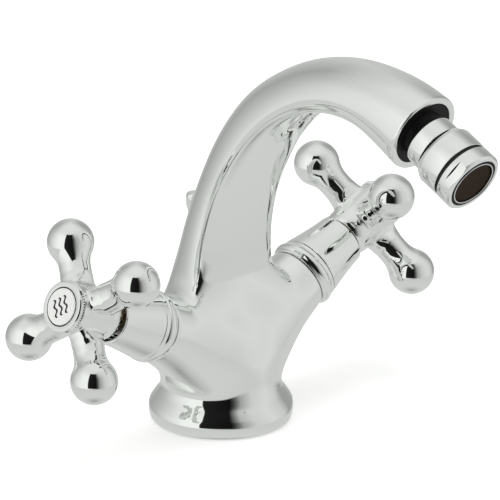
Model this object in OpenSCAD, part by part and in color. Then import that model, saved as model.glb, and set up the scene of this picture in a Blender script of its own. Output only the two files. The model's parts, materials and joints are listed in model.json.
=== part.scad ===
// Deck-mounted two-handle bathroom mixer with a swan-neck spout and a swivel aerator.
// The origin is the middle of the base on the deck, +Z is up and the spout reaches towards -Y.
// The hot valve is on the -X side and the cold valve on the +X side.

/* [Base] */
// Widest diameter of the base, over its bead
base_d = 53.8; // [52:0.2:65]
// Diameter of the base where it meets the deck
foot_d = 51; // [50:0.2:52]
// Diameter of the waist above the bead
waist_d = 45.2; // [45:0.2:46]
// Height of the waist above the deck
waist_z = 14; // [12:0.2:17]

/* [Spout] */
// Reach from the base axis to the middle of the spout's mouth
spout_reach = 103; // [86:1:124]
// Height of the middle of the spout's mouth
spout_mouth_z = 136; // [120:1:164]
// Height at which the column turns into the spout
column_z = 54; // [52:1:58]
// Width of the column where it meets the valve arms
column_w = 39; // [36:0.5:42]
// Diameter of the spout at its mouth
mouth_d = 29.6; // [28.8:0.2:34]
// Diameter of the threaded hole in the spout's mouth
mouth_hole_d = 24.3; // [23.8:0.1:25]
// Slope of the mouth's axis below the horizontal
mouth_slope = 20.5; // [10:0.5:35]
// Diameter of the waterway inside the spout
waterway_d = 11; // [8:0.5:12]

/* [Valves] */
// Upward slope of the valve arms
arm_slope = 23.8; // [15:0.2:30]
// Height at which the two valve axes cross
arm_cross_z = 29.2; // [28:0.2:34]
// Distance from the crossing to the mouth of each arm
arm_len = 40; // [38:0.5:50]
// Diameter of each arm at its mouth
arm_d = 24.6; // [24.4:0.1:29]
// Diameter of the threaded socket in each arm
socket_d = 20.6; // [20.2:0.1:21]
// Depth of the threaded socket
socket_depth = 16; // [15:0.5:18]
// Length of the trim ring under each bell
trim_len = 6.3; // [5:0.1:9]
// Length of each bell
bell_len = 18; // [15:0.5:22]
// Diameter of each bell at its open end
bell_end_d = 19.8; // [19:0.2:24]
// Diameter of the valve spindle
spindle_d = 8; // [7:0.1:9.6]
// Diameter of the ceramic discs
disc_d = 17.4; // [16:0.1:17.6]

/* [Handles] */
// Distance from the middle of a cross handle to the middle of each ball
ball_reach = 26.9; // [24:0.1:33]
// Diameter of the ball on each handle arm
ball_d = 17.2; // [14:0.2:20]
// Thinnest diameter of each handle arm
handle_neck_d = 11.6; // [9:0.2:13]
// Diameter of the handle's hub
hub_d = 19; // [18.4:0.2:24]
// Length of the hub along the valve axis
hub_len = 20.5; // [19:0.5:26]
// Diameter of the white disc in the cap
cap_disc_d = 13.6; // [11:0.2:14.4]
// Turn of the closed hot handle about its axis
hot_turn = 35.7; // [0:0.1:90]
// Turn of the closed cold handle about its axis
cold_turn = -38.5; // [-90:0.1:0]

/* [Swivel aerator] */
// Diameter of the swivel ball
swivel_ball_d = 18; // [15:0.2:18.6]
// Depth of the ball's centre inside the spout's mouth
swivel_depth = 3.8; // [3.4:0.1:4.6]
// Slope of the aerator's axis below the horizontal as it hangs
nozzle_slope = 26; // [15:0.5:30]
// Diameter of the collar in front of the ball
collar_d = 19.7; // [18:0.1:20.4]
// Outer diameter of the aerator
nozzle_d = 23.5; // [23:0.1:26]
// Width across the two spanner flats on the aerator
nozzle_flats = 22; // [21:0.1:24]

/* [Fixing] */
// Tapping diameter of the fixing stud hole
stud_hole_d = 6.8; // [5:0.1:8.6]
// Depth of the fixing stud hole
stud_hole_depth = 14; // [10:0.5:18]
// Tapping diameter of the hose inlets
hose_hole_d = 9; // [8:0.1:9.6]
// Depth of the hose inlets' thread
hose_hole_depth = 12; // [9:0.5:14]
// Distance from the base axis to each hose inlet, across the base
hose_offset = 9.5; // [9:0.1:11]

/* [Lift rod] */
// Diameter of the lift rod
rod_d = 4; // [3:0.1:5]
// Diameter of the lift rod's knob
knob_d = 6.4; // [5.6:0.1:9]
// Distance of the rod behind the base axis
rod_back = 14; // [13.5:0.1:15]
// Height of the knob's top when it is down
knob_top_z = 84; // [82:0.5:96]

/* [Fits] */
// Radial clearance of parts that turn or slide in each other
running_gap = 0.05; // [0.02:0.01:0.1]
// Air left between parts that must not touch
air_gap = 0.3; // [0.2:0.05:0.5]
// Thickness of the casting's and the covers' walls
wall = 1.4; // [1.2:0.1:1.8]

/* [Hidden] */
$fn = 64;
hot = -1;
cold = 1;

chrome = [0.86, 0.87, 0.89];
brass = [0.78, 0.62, 0.36];
rubber = [0.12, 0.12, 0.12];
ceramic = [0.93, 0.92, 0.88];
steel = [0.70, 0.71, 0.73];
black_plastic = [0.08, 0.08, 0.08];
white_plastic = [0.92, 0.92, 0.90];

// Base and column
bead_z = 4.8;
bead_r = 4.6;
flank_slope = 1.4 * atan((base_d - waist_d) / 2 / (waist_z - bead_z));
column_y = -2.2;

// Spout line: a cubic curve from the top of the column to the middle of the mouth
spout_lean = 1.8;
spout_rise = 45.4;
spout_run = 74.3;
spout_end_slope = 25.7;
spout_steps = 26;

// Its section is a D: a round back, a nearly flat inner face and rounded edges between them.
// Each list runs evenly from the column to the mouth.
half_width = [column_w / 2, 18.2, 17.1, 16.5, 15.9, 15.4, 15, 14.8, mouth_d / 2];
back_depth = [20.2, 16.4, 13.9, 12.9, 11.8, 10, 9.9, 11.5, mouth_d / 2];
face_depth = [8.8, 7.3, 6.4, 6.8, 7.6, 8.4, 8.4, 10, mouth_d / 2];
edge_width = [3, 3, 3, 3.2, 3.6, 4.5, 6, 9.5, mouth_d * 0.42];
edge_depth = [3, 3, 3, 3.2, 3.6, 4.5, 6, 9.5, mouth_d / 2];
face_bulge = 0.8;

// Distances along a valve axis, from where the two axes cross
socket_floor = arm_len - socket_depth;
seal_t = 2;
disc_t = 2.5;
disc_low = socket_floor + seal_t;
disc_face = disc_low + disc_t;
disc_gap = 0.03;
moving_top = disc_face + disc_gap + disc_t;
flange_t = 3;
flange_top = moving_top + flange_t;
chamber_top = flange_top + air_gap;
trim_end = arm_len + trim_len;
bell_end = trim_end + bell_len;
valve_nose = bell_end - 4.3;
hub_start = bell_end + 1.2;
hub_end = hub_start + hub_len;
cross_at = hub_start + 12.3;
spline_end = hub_start + 11;
web_t = 2.5;
cap_t = 2.7;
cap_end = hub_end + cap_t;
cap_face = cap_end + 0.5;
basket_r = disc_d / 2 + 0.9;
chamber_r = disc_d / 2 + 0.1;
barrel_r = 8.4;
nose_r = 6.4;
flange_r = disc_d / 2 - 0.3;
screw_r = 2;
screw_head_r = 3.6;
pocket_r = 6.6;
shoulder_r = arm_d / 2 - 0.7;
hexagon_r = arm_d / 2 - 0.8;
cover_bore_r = arm_d / 2 - 0.6;
trim_bead_r = 3.2;
circlip_t = 1;

// Distances along the swivel and aerator axes
ball_r = swivel_ball_d / 2;
nut_front = -0.6;
nut_len = 8.4;
recess_top = nut_front - 3.6;
seat_wall = 1.2;
neck_r = 6.5;
collar_start = 6.6;
collar_end = 13;
sleeve_end = 23.9;
gasket_end = 25.2;
housing_end = 31.2;
spigot_r = nozzle_d / 2 - 2.75;
screen_z = 30.2;
screen_r = spigot_r - 0.65;

// Lift rod
rod_bottom_z = 1;
guide_top_z = 58;
guide_len = 10;
guide_r = rod_d / 2 + 1.5;
knob_h = 9;
slide_travel = 25;

// ---------- helpers ----------

function ease(t) = t * t * (3 - 2 * t);
function mix(a, b, t) = a + (b - a) * t;

// Smooth curve through evenly spaced values
function key_at(keys, t) =
    let (last = len(keys) - 1, u = min(max(t, 0), 1) * last, i = min(floor(u), last - 1), f = u - i)
    let (p0 = keys[max(i - 1, 0)], p1 = keys[i], p2 = keys[i + 1], p3 = keys[min(i + 2, last)])
    0.5 * (2 * p1 + (p2 - p0) * f + (2 * p0 - 5 * p1 + 4 * p2 - p3) * f * f
           + (3 * p1 - p0 - 3 * p2 + p3) * f * f * f);

function cubic(a, b, c, d, t) =
    pow(1 - t, 3) * a + 3 * pow(1 - t, 2) * t * b + 3 * (1 - t) * t * t * c + pow(t, 3) * d;
function cubic_way(a, b, c, d, t) =
    3 * pow(1 - t, 2) * (b - a) + 6 * (1 - t) * t * (c - b) + 3 * t * t * (d - c);

// Closed skin over a list of rings with the same number of points
module loft(rings) {
    sides = len(rings[0]);
    last = len(rings) - 1;
    walls = [for (r = [0 : last - 1], i = [0 : sides - 1], half = [0 : 1])
        half == 0
            ? [r * sides + i, (r + 1) * sides + (i + 1) % sides, r * sides + (i + 1) % sides]
            : [r * sides + i, (r + 1) * sides + i, (r + 1) * sides + (i + 1) % sides]];
    low_cap = [[for (i = [0 : sides - 1]) i]];
    high_cap = [[for (i = [sides - 1 : -1 : 0]) last * sides + i]];
    polyhedron(points = [for (ring = rings, p = ring) p], faces = concat(walls, low_cap, high_cap), convexity = 6);
}

// Tube with a smaller bore
module tube(r, bore, z0, z1) {
    difference() {
        translate([0, 0, z0]) cylinder(r = r, h = z1 - z0);
        translate([0, 0, z0 - 1]) cylinder(r = bore, h = z1 - z0 + 2);
    }
}

// Puts children on a valve axis, with local Z pointing out of the arm
module on_valve(side) {
    translate([0, column_y - 0.6, arm_cross_z])
        rotate([0, side * (90 - arm_slope), 0])
            children();
}

// Puts children on a handle, turned to its closed position
module on_handle(side) {
    turn = side == hot ? hot_turn : cold_turn;
    on_valve(side) rotate([0, 0, turn]) children();
}

// Puts children on the mouth's axis, with local Z pointing out of the spout
module on_mouth() {
    translate([0, -spout_reach, spout_mouth_z]) rotate([90 + mouth_slope, 0, 0]) children();
}

// Puts children on the aerator's axis, with local Z running from the ball's centre to the outlet
module on_nozzle() {
    on_mouth() translate([0, 0, -swivel_depth]) rotate([nozzle_slope - mouth_slope, 0, 0]) children();
}

// ---------- casting ----------

// Points round a D section. sizes holds half the width, the depths of the back and of the face
// from the middle line, and the width and depth of the rounded edges.
function d_section(sizes) =
    let (w = sizes[0], back = sizes[1], face = sizes[2], edge_w = sizes[3], edge_d = sizes[4])
    let (flat = w - edge_w, turn_y = edge_d - face)
    concat([for (a = [0 : 15 : 180]) [w * cos(a), turn_y + (back - turn_y) * sin(a)]],
           [for (a = [22.5 : 22.5 : 90]) [-flat - edge_w * cos(a), turn_y - edge_d * sin(a)]],
           [for (i = [-2 : 2]) [flat * i / 3, -face - face_bulge * (1 - i * i / 9)]],
           [for (a = [90 : -22.5 : 22.5]) [flat + edge_w * cos(a), turn_y - edge_d * sin(a)]]);

spout_start = [column_y, column_z];
spout_stop = [-spout_reach, spout_mouth_z];
spout_pull = spout_start + spout_rise * [-sin(spout_lean), cos(spout_lean)];
spout_push = spout_stop + spout_run * [cos(spout_end_slope), sin(spout_end_slope)];
function spout_at(t) = cubic(spout_start, spout_pull, spout_push, spout_stop, t);
function spout_way(t) =
    let (w = cubic_way(spout_start, spout_pull, spout_push, spout_stop, t), l = norm(w))
    t < 1 ? w / l : [-cos(mouth_slope), -sin(mouth_slope)];

// Section sizes at t along the spout
function spout_sizes(t) =
    [for (keys = [half_width, back_depth, face_depth, edge_width, edge_depth]) key_at(keys, t)];

// One ring of points across the spout line at t
function spout_ring(t) =
    let (c = spout_at(t), w = spout_way(t))
    [for (p = d_section(spout_sizes(t))) [p[0], c[0] + w[1] * p[1], c[1] - w[0] * p[1]]];

// One level ring of the body between the round waist and the foot of the spout
function column_ring(t) =
    let (r = waist_d / 2, e = ease(t), low = [r, r, r, 0.85 * r, r])
    [for (p = d_section(mix(low, spout_sizes(0), e))) [p[0], column_y * e + p[1], mix(waist_z - 3, column_z, t)]];

module spout_skin() {
    column = [for (i = [0 : 4]) column_ring(i / 5)];
    spout = [for (i = [0 : spout_steps]) spout_ring(i / spout_steps)];
    loft(concat(column, spout));
}

// One ring of the flared root of a valve arm, in the arm's own frame
module arm_skin(side) {
    arm_sides = 28;
    steps = 10;
    root = 8;
    rings = [for (i = [0 : steps])
        let (s = mix(root, arm_len, i / steps), flare = 1 - s / arm_len, swell = pow(flare, 3))
        let (half_w = arm_d / 2 + 3 * flare + 8 * swell, low = arm_d / 2 + 10 * flare + 16 * swell)
        [for (k = [0 : arm_sides - 1]) let (a = 360 * k / arm_sides)
            [side * (cos(a) > 0 ? low : arm_d / 2) * cos(a), side * half_w * sin(a), s]]];
    on_valve(side) loft(rings);
}

// Turned base: a full bead, a straight flank and a concave neck, each running into the next
module base_turning() {
    foot_r = foot_d / 2;
    bead_x = base_d / 2 - bead_r;
    fall = base_d / 2 - waist_d / 2;
    rise = waist_z - bead_z;
    turns = (rise * sin(flank_slope) - fall * cos(flank_slope)) / (1 - cos(flank_slope));
    cove_r = turns - bead_r;
    under = [for (a = [0 : 15 : 75]) [foot_r + (base_d / 2 - foot_r) * sin(a), bead_z * (1 - cos(a))]];
    bead = [for (i = [0 : 6]) let (a = flank_slope * i / 6) [bead_x + bead_r * cos(a), bead_z + bead_r * sin(a)]];
    cove = [for (i = [0 : 6]) let (a = flank_slope * (1 - i / 6))
        [waist_d / 2 + cove_r * (1 - cos(a)), waist_z - cove_r * sin(a)]];
    rotate_extrude()
        polygon(concat([[0, 0]], under, bead, cove, [[waist_d / 2, waist_z + 1], [0, waist_z + 1]]));
}

// Straight drilling between two points
module drilling(from, to, r) {
    way = to - from;
    translate(from)
        rotate([0, acos(way[2] / norm(way)), atan2(way[1], way[0])])
            cylinder(r = r, h = norm(way));
}

// Point on a valve axis at a distance from the crossing
function on_arm(side, s) =
    [side * s * cos(arm_slope), column_y - 0.6, arm_cross_z + s * sin(arm_slope)];

module waterway() {
    r = waterway_d / 2;
    loft([for (i = [0 : 20]) let (t = mix(0.02, 0.93, i / 20), c = spout_at(t), w = spout_way(t))
        [for (k = [0 : 11]) let (a = 30 * k, p = r * [cos(a), sin(a)])
            [p[0], c[0] + w[1] * p[1], c[1] - w[0] * p[1]]]]);
}

module body_casting() color(chrome) {
    chamber = [0, column_y, column_z];
    difference() {
        union() {
            base_turning();
            spout_skin();
            arm_skin(hot);
            arm_skin(cold);
        }
        waterway();
        on_mouth() translate([0, 0, -12]) cylinder(d = mouth_hole_d, h = 14);
        on_mouth() translate([0, 0, -20]) cylinder(d = waterway_d, h = 10);
        for (side = [hot, cold]) {
            on_valve(side) translate([0, 0, socket_floor]) cylinder(d = socket_d, h = arm_len);
            drilling([side * hose_offset, -2, hose_hole_depth - 1], on_arm(side, socket_floor + 0.5), 3.2);
            drilling(on_arm(side, socket_floor + 9), chamber, 3.4);
            translate([side * hose_offset, -2, -1]) cylinder(d = hose_hole_d, h = hose_hole_depth + 1);
        }
        drilling([0, column_y, column_z - 4], [0, column_y, column_z + 4], waterway_d / 2);
        translate([0, -12.5, -1]) cylinder(d = stud_hole_d, h = stud_hole_depth + 1);
        translate([0, rod_back, -1]) cylinder(r = guide_r, h = guide_top_z + 1);
        translate([0, rod_back, 0]) cylinder(r = rod_d / 2 + air_gap, h = knob_top_z);
        translate([0, rod_back, knob_top_z - knob_h - air_gap])
            cylinder(r = knob_d / 2 + air_gap, h = knob_h + slide_travel);
        translate([0, 0, -1]) difference() {
            cylinder(r = foot_d / 2 - 1.6, h = 3);
            cylinder(r = foot_d / 2 - 4, h = 3);
        }
    }
}

module base_seal() color(rubber) tube(foot_d / 2 - 1.6, foot_d / 2 - 4, 0, 2);

module rod_guide() color(white_plastic)
    translate([0, rod_back, 0]) tube(guide_r, rod_d / 2 + running_gap, guide_top_z - guide_len, guide_top_z);

// ---------- valves ----------

// Two opposite windows through a ceramic disc
module disc_windows(z, h) {
    for (turn = [0, 180])
        rotate([0, 0, turn - 40]) translate([0, 0, z])
            rotate_extrude(angle = 80) translate([2.4, 0]) square([disc_d / 2 - 4.2, h]);
}

module valve_body(side) color(chrome) on_valve(side) difference() {
    union() {
        translate([0, 0, socket_floor + 1]) cylinder(r = basket_r, h = flange_top - socket_floor);
        translate([0, 0, flange_top + 0.5]) cylinder(d = socket_d, h = arm_len - flange_top - 0.5);
        translate([0, 0, arm_len]) cylinder(r = shoulder_r, h = 1.5);
        translate([0, 0, arm_len + 1.5]) cylinder(r = hexagon_r, h = 3.5, $fn = 6);
        translate([0, 0, arm_len + 4]) cylinder(r = barrel_r, h = trim_end - arm_len + 1.5);
        translate([0, 0, arm_len + 5]) cylinder(r = nose_r, h = valve_nose - arm_len - 5);
    }
    translate([0, 0, socket_floor]) cylinder(r = chamber_r, h = chamber_top - socket_floor);
    cylinder(r = spindle_d / 2 + running_gap, h = valve_nose + 1);
    for (turn = [45 : 90 : 315])
        rotate([0, 0, turn]) translate([0, 0, moving_top + 1]) rotate([0, 90, 0]) cylinder(r = 2.2, h = 12);
}

module seat_seal(side) color(rubber) on_valve(side) difference() {
    translate([0, 0, socket_floor]) cylinder(d = disc_d - 0.4, h = seal_t);
    translate([0, 0, socket_floor - 1]) cylinder(r = 6.6, h = seal_t + 2);
}

module fixed_disc(side) color(ceramic) on_valve(side) difference() {
    translate([0, 0, disc_low]) cylinder(r = chamber_r, h = disc_t);
    disc_windows(disc_low - 1, disc_t + 2);
}

module trim_ring(side) color(chrome) on_valve(side) difference() {
    rotate_extrude() {
        translate([0, arm_len]) square([arm_d / 2 + 0.3, trim_len]);
        translate([arm_d / 2 - 2, arm_len + trim_len / 2 - 0.3])
            scale([1, 0.95 * (trim_len / 2 - 0.3) / trim_bead_r]) circle(r = trim_bead_r);
    }
    translate([0, 0, arm_len - 1]) cylinder(r = cover_bore_r, h = trim_len + 2);
}

// Outer radius of a bell at t from its root to its open end
function bell_r(t) = mix(arm_d / 2 + 0.4, bell_end_d / 2, 1 - pow(1 - t, 1.3));

module bell(side) color(chrome) on_valve(side) difference() {
    rotate_extrude()
        polygon(concat([[0, trim_end]],
                       [for (i = [0 : 8]) [bell_r(i / 8), trim_end + bell_len * i / 8]],
                       [[0, bell_end]]));
    cylinder(r = barrel_r, h = bell_end);
    rotate_extrude()
        polygon(concat([[0, trim_end + 4]],
                       [for (i = [2 : 8]) [bell_r(i / 8) - wall, trim_end + bell_len * i / 8 - (i < 8 ? 0 : -1)]],
                       [[0, bell_end + 1]]));
}

// ---------- handles ----------

// Outline of one handle arm: a neck that swells into a ball through a fillet
module arm_outline() {
    neck = handle_neck_d / 2;
    ball = ball_d / 2;
    fillet = 10;
    gap = sqrt(pow(ball + fillet, 2) - pow(neck + fillet, 2));
    meet = atan2(neck + fillet, gap);
    swell = [for (i = [0 : 6]) let (a = mix(0, 90 - meet, i / 6))
        [neck + fillet - fillet * cos(a), ball_reach - gap + fillet * sin(a)]];
    round = [for (i = [1 : 12]) let (a = mix(180 - meet, 0, i / 12)) [ball * sin(a), ball_reach + ball * cos(a)]];
    polygon(concat([[0, 0], [neck, 0]], swell, round));
}

module handle(side) color(chrome) on_handle(side) difference() {
    union() {
        rotate_extrude()
            polygon(concat([[0, hub_start], [hub_d / 2 - 1.4, hub_start]],
                           [for (a = [0 : 15 : 90]) [hub_d / 2 - 1.2 + 1.2 * sin(a), hub_start + 5 - 4.5 * cos(a)]],
                           [[hub_d / 2, hub_end - 1.5], [hub_d / 2 - 0.3, hub_end], [0, hub_end]]));
        for (turn = [0 : 90 : 270])
            rotate([0, 0, turn]) translate([0, 0, cross_at]) rotate([0, 90, 0])
                rotate_extrude() arm_outline();
    }
    cylinder(d = spindle_d, h = spline_end);
    cylinder(r = screw_r + 0.2, h = hub_end + 1);
    translate([0, 0, spline_end + web_t]) cylinder(r = pocket_r, h = hub_len);
}

module spindle(side) color(brass) on_handle(side) difference() {
    union() {
        translate([0, 0, moving_top]) cylinder(r = flange_r, h = flange_t);
        translate([0, 0, moving_top]) cylinder(d = spindle_d, h = valve_nose + 1.8 - moving_top);
        translate([0, 0, valve_nose + 1.8]) linear_extrude(spline_end - valve_nose - 1.8)
            polygon([for (i = [0 : 39]) (spindle_d / 2 - running_gap - (i % 2) * 0.4) * [cos(9 * i), sin(9 * i)]]);
    }
    for (z = [valve_nose - 7, valve_nose - 4]) tube(spindle_d, spindle_d / 2 - 0.9, z, z + 2);
    tube(spindle_d, spindle_d / 2 - 0.7, valve_nose + air_gap, valve_nose + air_gap + circlip_t);
    translate([0, 0, spline_end - 10]) cylinder(r = screw_r, h = 11);
}

module spindle_orings(side) color(rubber) on_handle(side)
    for (z = [valve_nose - 7, valve_nose - 4])
        tube(spindle_d / 2 + running_gap / 2, spindle_d / 2 - 0.9, z, z + 2);

module circlip(side) color(steel) on_handle(side) difference() {
    tube(spindle_d / 2 + 1.6, spindle_d / 2 - 0.7, valve_nose + air_gap, valve_nose + air_gap + circlip_t);
    translate([spindle_d / 2 + 1, 0, valve_nose]) cube([5, 3.2, 6], center = true);
}

module moving_disc(side) color(ceramic) on_handle(side) difference() {
    translate([0, 0, disc_face + disc_gap]) cylinder(d = disc_d, h = disc_t);
    rotate([0, 0, 90]) disc_windows(disc_face - 1, disc_t + 2);
}

module handle_screw(side) color(steel) on_handle(side) difference() {
    union() {
        translate([0, 0, spline_end - 9]) cylinder(r = screw_r, h = 9 + web_t);
        translate([0, 0, spline_end + web_t]) cylinder(r = screw_head_r, h = 3);
    }
    translate([0, 0, spline_end + web_t + 1]) cylinder(r = 1.6, h = 3, $fn = 6);
}

module cap_ring(side) color(chrome) on_handle(side) {
    band_r = hub_d / 2 - 0.15;
    difference() {
        union() {
            translate([0, 0, hub_end]) cylinder(r = band_r, h = cap_t - 0.5);
            translate([0, 0, cap_end - 0.5]) cylinder(r1 = band_r, r2 = band_r - 0.5, h = 0.5);
            translate([0, 0, hub_end - 2.5]) cylinder(r = pocket_r, h = 2.5);
        }
        translate([0, 0, hub_end - 3]) cylinder(r = 4.5, h = 8);
        translate([0, 0, hub_end + 0.8]) cylinder(r = cap_disc_d / 2 + 0.4, h = 5);
        for (turn = [0 : 10 : 350])
            rotate([0, 0, turn]) translate([band_r + 0.15, 0, hub_end + 0.5])
                cylinder(r = 0.4, h = cap_t - 1.2, $fn = 4);
    }
}

module cap_gasket(side) color(rubber) on_handle(side)
    tube(cap_disc_d / 2 + 0.4, cap_disc_d / 2, hub_end + 0.8, cap_end - 0.1);

module cap_disc(side) color(white_plastic) on_handle(side) difference() {
    union() {
        translate([0, 0, hub_end + 0.8]) cylinder(d = cap_disc_d, h = cap_face - 0.4 - hub_end - 0.8);
        translate([0, 0, cap_face - 0.4]) cylinder(d1 = cap_disc_d, d2 = cap_disc_d - 1, h = 0.4);
    }
    mark_shape(side, 1);
}

// Sign on a cap: three wavy strokes for hot, a six-armed star for cold
module mark_shape(side, proud) {
    depth = 0.4;
    width = 0.9;
    translate([0, 0, cap_face - depth]) linear_extrude(depth + proud) {
        if (side == cold)
            for (turn = [0 : 60 : 120]) rotate(turn) square([7.6, width], center = true);
        else
            for (row = [-1 : 1]) translate([0, 2.5 * row])
                polygon(concat([for (x = [-3.4 : 0.68 : 3.4]) [x, 0.55 * sin(106 * x) + width / 2]],
                               [for (x = [3.4 : -0.68 : -3.4]) [x, 0.55 * sin(106 * x) - width / 2]]));
    }
}

module cap_mark(side) color(rubber) on_handle(side) mark_shape(side, 0);

// ---------- swivel aerator ----------

module mouth_washer() color(rubber)
    on_mouth() tube(mouth_hole_d / 2, ball_r - 1, -12, nut_front - nut_len);

module swivel_nut() color(black_plastic) on_mouth() difference() {
    translate([0, 0, nut_front - nut_len]) cylinder(d = mouth_hole_d, h = nut_len);
    translate([0, 0, -swivel_depth]) sphere(r = ball_r + running_gap);
    translate([0, 0, nut_front - nut_len - 1]) cylinder(r = ball_r + seat_wall, h = recess_top - nut_front + nut_len + 1);
}

module swivel_seat() color(white_plastic) on_mouth() difference() {
    seat_low = nut_front - nut_len + air_gap;
    translate([0, 0, seat_low]) cylinder(r = ball_r + seat_wall - running_gap, h = recess_top - air_gap - seat_low);
    translate([0, 0, -swivel_depth]) sphere(r = ball_r + running_gap);
    translate([0, 0, -20]) cylinder(r = ball_r - 2.4, h = 20);
}

module swivel_ball() color(chrome) on_nozzle() difference() {
    union() {
        intersection() {
            sphere(r = ball_r);
            translate([0, 0, -6.4]) cylinder(r = ball_r, h = 13);
        }
        cylinder(r = neck_r, h = collar_start);
        translate([0, 0, collar_start]) cylinder(r1 = collar_d / 2 - 0.8, r2 = collar_d / 2, h = 0.8);
        translate([0, 0, collar_start + 0.8]) cylinder(d = collar_d, h = collar_end - collar_start - 0.8);
        translate([0, 0, collar_end]) cylinder(r = spigot_r, h = 5);
    }
    translate([0, 0, -10]) cylinder(r = 4.5, h = 30);
}

module nozzle_sleeve() color(chrome) on_nozzle() difference() {
    union() {
        translate([0, 0, collar_end]) cylinder(r1 = collar_d / 2 + 0.5, r2 = nozzle_d / 2, h = 2.6);
        translate([0, 0, collar_end + 2.6]) cylinder(d = nozzle_d, h = sleeve_end - collar_end - 2.6);
    }
    translate([0, 0, collar_end - 1]) cylinder(r = spigot_r, h = 6);
    translate([0, 0, collar_end + 5]) cylinder(r = spigot_r + 0.6, h = 10);
}

module nozzle_gasket() color(rubber) on_nozzle() tube(nozzle_d / 2 - 0.45, spigot_r + 0.6, sleeve_end, gasket_end);

module aerator_housing() color(chrome) on_nozzle() difference() {
    union() {
        translate([0, 0, collar_end + 5.5]) cylinder(r = spigot_r + 0.6, h = 8);
        translate([0, 0, gasket_end]) cylinder(d = nozzle_d, h = housing_end - gasket_end - 0.7);
        translate([0, 0, housing_end - 0.7]) cylinder(r1 = nozzle_d / 2, r2 = nozzle_d / 2 - 0.7, h = 0.7);
    }
    translate([0, 0, collar_end]) cylinder(r = spigot_r - 0.4, h = 20);
    translate([0, 0, gasket_end + 1]) cylinder(r = spigot_r + 0.8, h = 10);
    for (side = [-1, 1])
        translate([side * (nozzle_flats / 2 + 5), 0, gasket_end + 4.3]) cube([10, 30, 5], center = true);
}

module aerator_insert() color(black_plastic) on_nozzle() difference() {
    translate([0, 0, collar_end + 6]) cylinder(r = spigot_r - 0.4, h = screen_z - 0.8 - collar_end - 6);
    for (ring = [0 : 2], k = [0 : max(0, ring * 6 - 1)])
        rotate([0, 0, ring == 0 ? 0 : 60 * k / ring]) translate([ring * 3, 0, 0]) cylinder(r = 0.9, h = 40);
}

module aerator_ring() color(black_plastic) on_nozzle()
    tube(spigot_r + 0.8, spigot_r - 0.1, gasket_end + 1.5, housing_end - 0.2);

module aerator_rim() color(steel) on_nozzle()
    tube(spigot_r - 0.1, screen_r, screen_z - 0.8, housing_end + 0.1);

module aerator_screen() color("#4a3420") on_nozzle() intersection() {
    translate([0, 0, screen_z]) cylinder(r = screen_r, h = 0.6);
    union() {
        tube(screen_r, screen_r - 0.6, screen_z - 1, screen_z + 1);
        for (turn = [0, 90], k = [-4 : 4])
            rotate([0, 0, turn]) translate([1.8 * k, 0, screen_z]) cube([0.5, 20, 2], center = true);
    }
}

// ---------- lift rod ----------

module lift_rod() color(chrome) translate([0, rod_back, 0]) difference() {
    translate([0, 0, rod_bottom_z]) cylinder(d = rod_d, h = knob_top_z - 6 - rod_bottom_z);
    translate([0, 0, rod_bottom_z - 1]) cylinder(r = 1.25, h = 9);
}

module lift_knob() color(chrome) translate([0, rod_back, 0]) difference() {
    rotate_extrude()
        polygon([[0, knob_top_z - knob_h], [rod_d / 2 + 0.5, knob_top_z - knob_h], [rod_d / 2 + 0.5, knob_top_z - 7.6],
                 [knob_d / 2 - 0.3, knob_top_z - 5.6], [knob_d / 2, knob_top_z - 4.8], [knob_d / 2, knob_top_z - 1],
                 [knob_d / 2 - 0.5, knob_top_z - 0.3], [knob_d / 2 - 1.4, knob_top_z], [0, knob_top_z]]);
    translate([0, 0, knob_top_z - knob_h - 1]) cylinder(d = rod_d, h = 4);
}

body_casting();
base_seal();
rod_guide();
valve_body(hot);  // hot_valve_body
seat_seal(hot);  // hot_seat_seal
fixed_disc(hot);  // hot_fixed_disc
trim_ring(hot);  // hot_trim_ring
bell(hot);  // hot_bell
valve_body(cold);  // cold_valve_body
seat_seal(cold);  // cold_seat_seal
fixed_disc(cold);  // cold_fixed_disc
trim_ring(cold);  // cold_trim_ring
bell(cold);  // cold_bell
handle(hot);  // hot_handle
spindle(hot);  // hot_spindle
spindle_orings(hot);  // hot_spindle_orings
circlip(hot);  // hot_circlip
moving_disc(hot);  // hot_moving_disc
handle_screw(hot);  // hot_handle_screw
cap_ring(hot);  // hot_cap_ring
cap_gasket(hot);  // hot_cap_gasket
cap_disc(hot);  // hot_cap_disc
cap_mark(hot);  // hot_cap_mark
handle(cold);  // cold_handle
spindle(cold);  // cold_spindle
spindle_orings(cold);  // cold_spindle_orings
circlip(cold);  // cold_circlip
moving_disc(cold);  // cold_moving_disc
handle_screw(cold);  // cold_handle_screw
cap_ring(cold);  // cold_cap_ring
cap_gasket(cold);  // cold_cap_gasket
cap_disc(cold);  // cold_cap_disc
cap_mark(cold);  // cold_cap_mark
mouth_washer();
swivel_nut();
swivel_seat();
swivel_ball();
nozzle_sleeve();
nozzle_gasket();
aerator_housing();
aerator_insert();
aerator_ring();
aerator_rim();
aerator_screen();
lift_rod();
lift_knob();
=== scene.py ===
# %% [markdown]
# # A two-handle bathroom mixer with a swan-neck spout
# This lesson turns a plain CAD model of a chrome mixer into a finished one. The CAD model is loaded
# first and never changed: it fixes every size and every joint. Each piece whose surface matters is
# then modelled again on top of it, smoother and with its real edges, and the rest only get a finish.
# Sizes are written in millimetres and turned into Blender's metres where they are used.

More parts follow.
